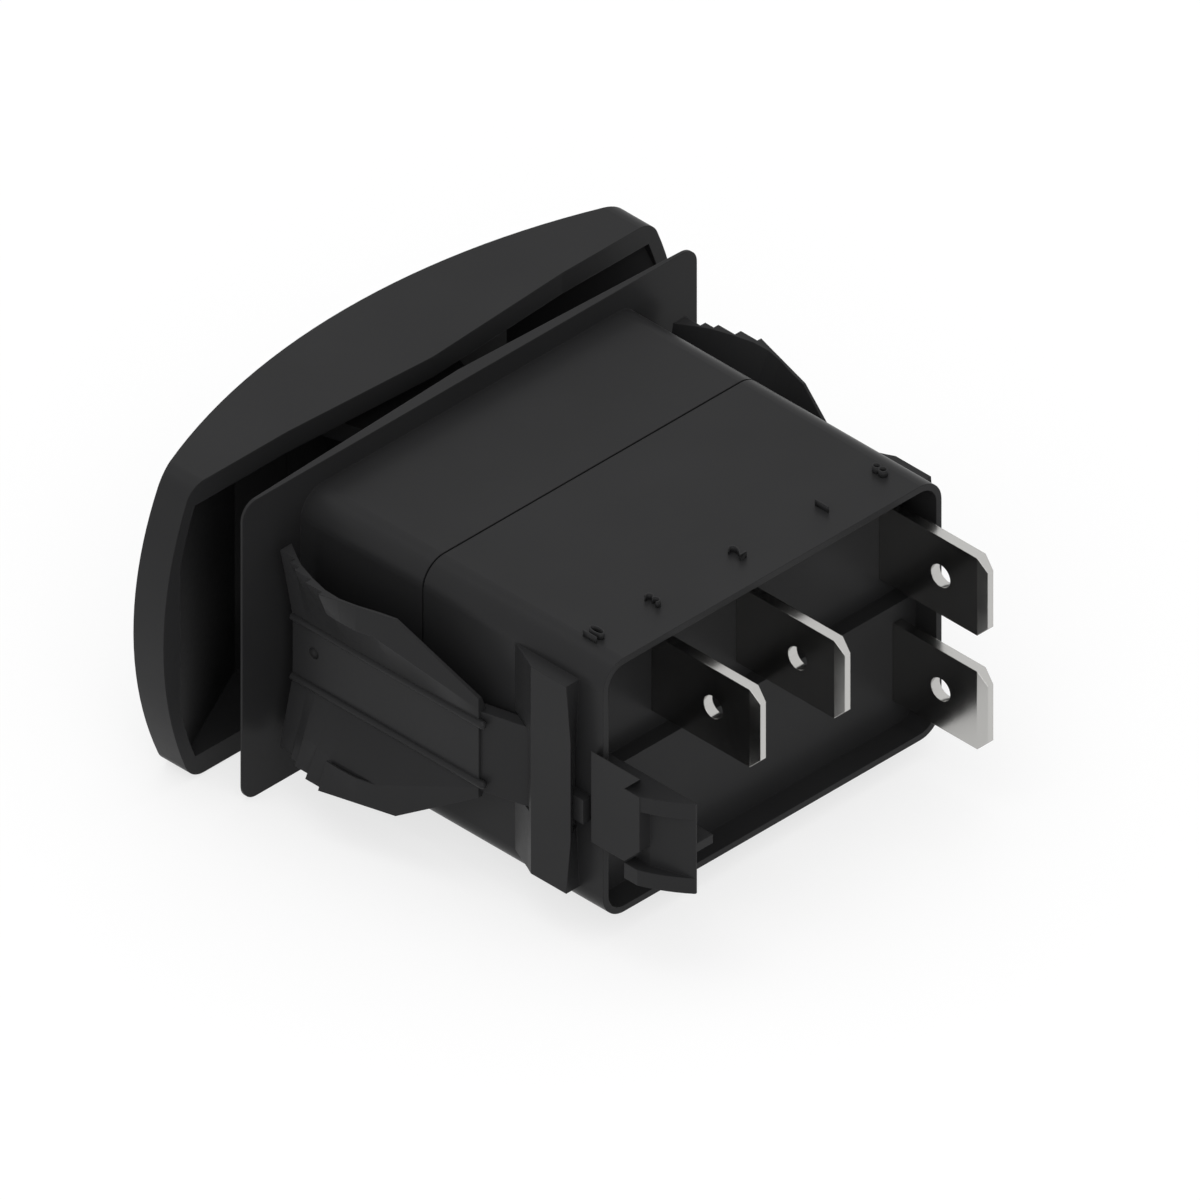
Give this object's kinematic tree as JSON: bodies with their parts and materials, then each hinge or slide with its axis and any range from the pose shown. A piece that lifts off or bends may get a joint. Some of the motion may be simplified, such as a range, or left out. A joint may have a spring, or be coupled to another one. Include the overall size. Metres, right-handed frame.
{
  "type": "panel-mount rocker switch",
  "caption": "Black snap-in rocker switch with a domed cap, flange, spring wings, connector latch and tab terminals; the rocker tilts and returns to level.",
  "frame": {"origin": "centre of the panel cut-out, on the flat back of the flange", "axes": "+X along the long side towards the connector latch, +Y back from the panel to the terminals, +Z across the switch"},
  "size_m": [0.049, 0.0489, 0.0242],
  "materials": {
    "case_plastic": "moulded glass-filled nylon, satin black",
    "cap_plastic": "fine-textured moulded plastic, satin black",
    "wing_plastic": "moulded acetal, satin black",
    "hub_plastic": "moulded nylon, black",
    "plunger_plastic": "natural acetal",
    "lens": "clear polycarbonate",
    "tinned_brass": "tin-plated brass strip",
    "copper": "bare copper strip",
    "silver": "silver contact alloy",
    "spring_steel": "drawn stainless wire",
    "rubber": "silicone rubber, dark grey",
    "circuit_board": "green solder mask",
    "diode": "clear epoxy",
    "resistor": "lacquered ceramic"
  },
  "bodies": {
    "case": {"front_housing": "case_plastic", "rear_base": "case_plastic", "latch_end_wing": "wing_plastic", "plain_end_wing": "wing_plastic", "terminal_2": "tinned_brass", "terminal_3": "tinned_brass", "terminal_7": "tinned_brass", "terminal_8": "tinned_brass", "fixed_contact": "silver", "return_cam": "plunger_plastic", "seam_seal": "rubber", "lamp_board": "circuit_board", "lamp_led": "diode", "lamp_resistor": "resistor", "light_guide": "lens"},
    "rocker": {"rocker_cap": "cap_plastic", "cap_lens": "lens", "rocker_hub": "hub_plastic", "contact_spring": "spring_steel", "return_spring": "spring_steel"},
    "contact_plunger": {"contact_plunger": "plunger_plastic"},
    "return_plunger": {"return_plunger": "plunger_plastic"},
    "contact_arm": {"contact_arm": "copper", "moving_contact": "silver"}
  },
  "joints": [
    {"name": "rocker_tilt", "type": "hinge", "parent": "case", "child": "rocker", "pos_m": [0, 0.003, 0], "axis": [0, 0, 1], "range_deg": [-8, 8], "stiffness_Nm_per_rad": 0.3},
    {"name": "contact_plunger_slide", "type": "slide", "parent": "rocker", "child": "contact_plunger", "axis": [0, 1, 0], "range_m": [-0.0008, 0], "stiffness_N_per_m": 300, "springref_m": 0.002, "deforming": ["contact_spring"]},
    {"name": "return_plunger_slide", "type": "slide", "parent": "rocker", "child": "return_plunger", "axis": [0, 1, 0], "range_m": [-0.0008, 0], "stiffness_N_per_m": 300, "springref_m": 0.002, "deforming": ["return_spring"]},
    {"name": "arm_rock", "type": "hinge", "parent": "case", "child": "contact_arm", "pos_m": [-0.00025, 0.0137, 0.00466], "axis": [0, 0, 1], "range_deg": [-6, 6]}
  ],
  "couplings": [
    {"joint": "arm_rock", "follows": "rocker_tilt", "ratio": -0.75}
  ]
}
